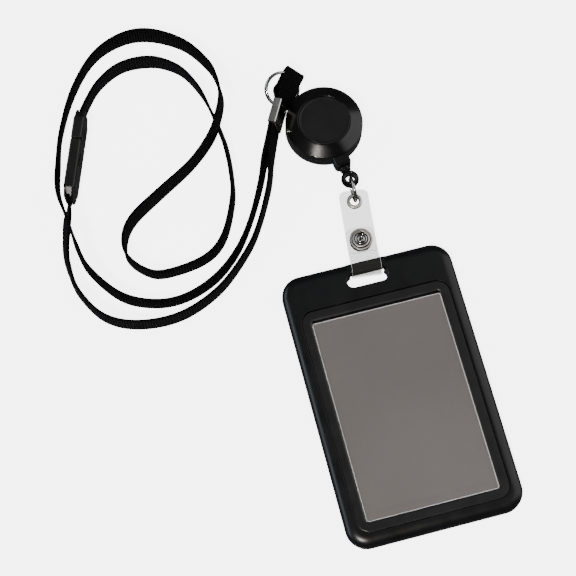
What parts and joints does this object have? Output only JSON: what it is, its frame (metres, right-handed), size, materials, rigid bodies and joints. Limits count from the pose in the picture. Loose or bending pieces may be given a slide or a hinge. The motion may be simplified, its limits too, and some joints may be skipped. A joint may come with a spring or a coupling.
{
  "type": "lanyard badge holder",
  "caption": "Slide-back badge holder with a grey window, on a vinyl snap strap, a retracting cord reel and a woven neck lanyard with a breakaway buckle.",
  "frame": {"origin": "centre of the holder's back face, which lies on the table", "axes": "+Z out of the holder's front, +Y along the holder towards its strap slot, +X to the right seen from the front"},
  "size_m": [0.1464, 0.2254, 0.0206],
  "materials": {
    "black_abs": "satin",
    "bezel_abs": "satin",
    "smoke_pane": "frosted",
    "clear_vinyl": "milky translucent",
    "nickel": "polished",
    "steel_wire": "polished",
    "gloss_abs": "semi-gloss",
    "nylon_cord": "braided",
    "reel_face": "semi-gloss",
    "spring_steel": "brushed",
    "white_acetal": "satin",
    "webbing": "ribbed weave",
    "buckle_abs": "satin"
  },
  "bodies": {
    "holder": {"holder_frame": "black_abs", "window_bezel": "bezel_abs", "front_window": "smoke_pane"},
    "cover": {"back_cover": "black_abs"},
    "strap": {"strap_front": "clear_vinyl", "strap_eyelet": "nickel", "snap_socket": "nickel", "snap_spring": "nickel"},
    "flap": {"strap_flap": "clear_vinyl", "snap_stud": "nickel", "snap_cap": "nickel"},
    "link": {"link_ring": "steel_wire"},
    "eye": {"cord_eye": "gloss_abs"},
    "cord_end": {"cord_collar": "gloss_abs", "cord_knot": "nylon_cord"},
    "reel": {"reel_base": "gloss_abs", "reel_cover": "gloss_abs", "reel_disc": "reel_face", "reel_screw": "steel_wire", "reel_spring": "spring_steel", "reel_cord": "nylon_cord"},
    "spool": {"reel_spool": "white_acetal", "reel_cord_wound": "nylon_cord"},
    "ring": {"split_ring": "steel_wire"},
    "lanyard": {"end_loop": "webbing", "crimp": "nickel", "strap_long": "webbing", "strap_lead": "webbing", "strap_short": "webbing", "buckle_socket": "buckle_abs"},
    "plug": {"buckle_plug": "buckle_abs"}
  },
  "joints": [
    {"name": "cover_slide", "type": "slide", "parent": "holder", "child": "cover", "axis": [0, -1, 0], "range_m": [0, 0.09]},
    {"name": "strap_swing", "type": "hinge", "parent": "holder", "child": "strap", "pos_m": [0.0008, 0.0515, 0.00395], "axis": [0.9942, -0.108, 0], "range_deg": [-65, 100]},
    {"name": "flap_open", "type": "hinge", "parent": "strap", "child": "flap", "pos_m": [0.0009, 0.05239, 0.0004], "axis": [-0.9942, 0.108, 0], "range_deg": [0, 100]},
    {"name": "link_turn", "type": "hinge", "parent": "strap", "child": "link", "pos_m": [0.00435, 0.08345, 0.0053], "axis": [0.9997, -0.0262, 0], "range_deg": [-25, 60]},
    {"name": "eye_yaw", "type": "hinge", "parent": "link", "child": "eye", "pos_m": [0.00445, 0.0881, 0.0045], "axis": [0, 0, 1], "range_deg": [-30, 12]},
    {"name": "eye_swivel", "type": "hinge", "parent": "eye", "child": "cord_end", "pos_m": [0.00379, 0.09238, 0.0045], "axis": [-0.1616, 0.9869, 0], "range_deg": [-90, 90]},
    {"name": "cord_pull", "type": "slide", "parent": "cord_end", "child": "reel", "axis": [-0.1616, 0.9869, 0], "range_m": [0, 0.6], "stiffness_N_per_m": 0.8, "springref_m": -0.5},
    {"name": "spool_spin", "type": "hinge", "parent": "reel", "child": "spool", "pos_m": [0.0004, 0.1131, 0], "axis": [0, 0, 1], "range_deg": [-1, 3600]},
    {"name": "ring_swing", "type": "hinge", "parent": "reel", "child": "ring", "pos_m": [-0.00778, 0.12816, 0.00205], "axis": [0.7071, 0.7071, 0], "range_deg": [-20, 0]},
    {"name": "loop_turn", "type": "hinge", "parent": "ring", "child": "lanyard", "pos_m": [-0.0118, 0.1325, 0.0052], "axis": [0.171, -0.4698, 0.866], "range_deg": [-5, 0]},
    {"name": "buckle_release", "type": "slide", "parent": "lanyard", "child": "plug", "axis": [0.342, 0.9397, 0], "range_m": [0, 0.0125], "deforming": ["strap_lead"]}
  ],
  "couplings": [
    {"joint": "spool_spin", "follows": "cord_pull", "rad_per_m": 86.207}
  ]
}
